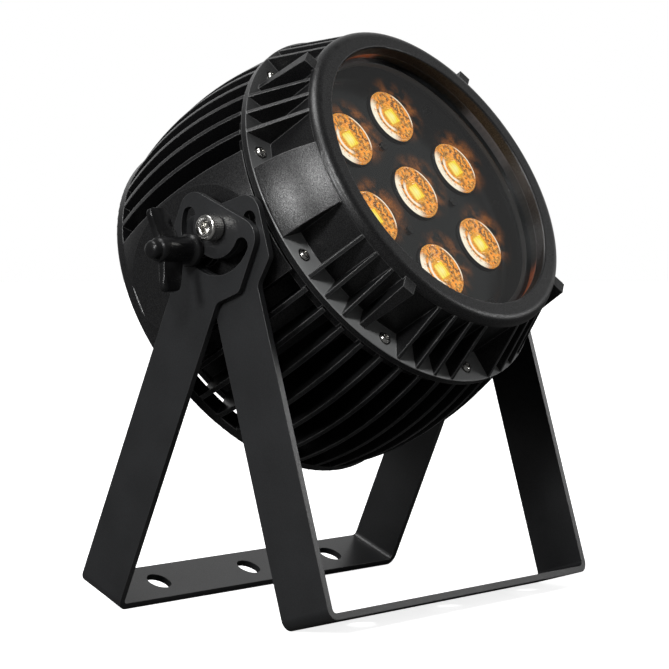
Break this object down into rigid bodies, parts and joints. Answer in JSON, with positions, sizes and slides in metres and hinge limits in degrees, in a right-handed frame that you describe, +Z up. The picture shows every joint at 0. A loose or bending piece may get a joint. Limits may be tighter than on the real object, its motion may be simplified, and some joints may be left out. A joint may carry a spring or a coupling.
{
  "type": "par can light",
  "caption": "Finned weatherproof stage par light with amber lenses under a round window, on a pair of flat U-shaped yokes that open into a floor stand and lock with wing knobs.",
  "frame": {"origin": "on the floor at the middle of the object's box", "axes": "+X along the tilt axis, -Y the side the beam leaves from, +Z up"},
  "size_m": [0.2924, 0.222, 0.3045],
  "materials": {
    "yoke_coat": "satin dark grey powder coat",
    "housing_coat": "die cast, with a fine-grained matt black powder coat",
    "stainless": "plain stainless",
    "black_steel": "plain stainless, turned",
    "glass": "clear, flat, tempered",
    "lens": "clear acrylic with a pebbled front, lit amber",
    "emitter": "amber emitter, lit",
    "holder": "black moulding",
    "gloss_plate": "gloss black",
    "seal": "black silicone",
    "retainer": "matt black",
    "post": "turned",
    "lamp_board": "black solder mask on a metal core",
    "heat_pad": "grey filled silicone",
    "supply_case": "plain case",
    "circuit_board": "green solder mask",
    "coil": "wound ferrite",
    "capacitor": "sleeved can",
    "lead": "red insulation",
    "window": "smoked clear",
    "display": "dark display glass",
    "switch": "plain",
    "key": "soft black",
    "socket": "black nylon",
    "insert": "black nylon",
    "cap": "soft black",
    "washer": "black nylon",
    "knob": "satin black",
    "brass": "turned"
  },
  "bodies": {
    "outer_yoke": {"outer_yoke": "yoke_coat"},
    "inner_yoke": {"inner_yoke": "yoke_coat"},
    "head": {"rear_housing": "housing_coat", "front_housing": "housing_coat", "flange_screws": "stainless", "housing_gasket": "seal", "front_glass": "glass", "glass_gasket": "seal", "glass_retaining_ring": "retainer", "retaining_ring_screws": "stainless", "lenses": "lens", "lens_holders": "holder", "led_cover_plate": "gloss_plate", "cover_plate_posts": "post", "cover_plate_screws": "stainless", "led_emitters": "emitter", "led_board": "lamp_board", "heat_transfer_pad": "heat_pad", "power_supply": "supply_case", "power_supply_screws": "stainless", "driver_board": "circuit_board", "driver_board_posts": "post", "driver_board_screws": "stainless", "driver_coils": "coil", "driver_capacitors": "capacitor", "led_harness": "lead", "harness_grommet": "seal", "rear_cover": "housing_coat", "rear_cover_gasket": "seal", "rear_cover_screws": "stainless", "display_window": "window", "display_module": "display", "control_board": "circuit_board", "control_board_posts": "post", "key_switches": "switch", "key_seals": "seal", "power_inlet": "socket", "power_outlet": "socket", "data_inlet": "socket", "data_outlet": "socket", "socket_inserts": "insert", "socket_seals": "seal", "socket_nuts": "socket", "socket_caps": "cap", "pressure_vent": "socket", "safety_eye": "stainless", "safety_eye_nut": "stainless", "pivot_screws": "black_steel", "pivot_washers": "washer", "knob_studs": "stainless"},
    "knob_left": {"knob_left": "knob", "knob_left_insert": "brass"},
    "knob_right": {"knob_right": "knob", "knob_right_insert": "brass"},
    "menu_key": {"menu_key": "key"},
    "down_key": {"down_key": "key"},
    "up_key": {"up_key": "key"},
    "enter_key": {"enter_key": "key"}
  },
  "joints": [
    {"name": "head_tilt", "type": "hinge", "parent": "outer_yoke", "child": "head", "pos_m": [0, -0.01566, 0.1984], "axis": [1, 0, 0], "range_deg": [-115, 12]},
    {"name": "yoke_fold", "type": "hinge", "parent": "outer_yoke", "child": "inner_yoke", "pos_m": [0, -0.01566, 0.1984], "axis": [1, 0, 0], "range_deg": [0, 40]},
    {"name": "knob_left_turn", "type": "hinge", "parent": "head", "child": "knob_left", "pos_m": [-0.13, 0.00051, 0.1875], "axis": [-1, 0, 0], "range_deg": [0, 360]},
    {"name": "knob_right_turn", "type": "hinge", "parent": "head", "child": "knob_right", "pos_m": [0.13, 0.00051, 0.1875], "axis": [1, 0, 0], "range_deg": [0, 360]},
    {"name": "menu_key_press", "type": "slide", "parent": "head", "child": "menu_key", "axis": [0, -0.8746, 0.4848], "range_m": [0, 0.001], "stiffness_N_per_m": 800, "springref_m": -0.0005},
    {"name": "down_key_press", "type": "slide", "parent": "head", "child": "down_key", "axis": [0, -0.8746, 0.4848], "range_m": [0, 0.001], "stiffness_N_per_m": 800, "springref_m": -0.0005},
    {"name": "up_key_press", "type": "slide", "parent": "head", "child": "up_key", "axis": [0, -0.8746, 0.4848], "range_m": [0, 0.001], "stiffness_N_per_m": 800, "springref_m": -0.0005},
    {"name": "enter_key_press", "type": "slide", "parent": "head", "child": "enter_key", "axis": [0, -0.8746, 0.4848], "range_m": [0, 0.001], "stiffness_N_per_m": 800, "springref_m": -0.0005}
  ]
}
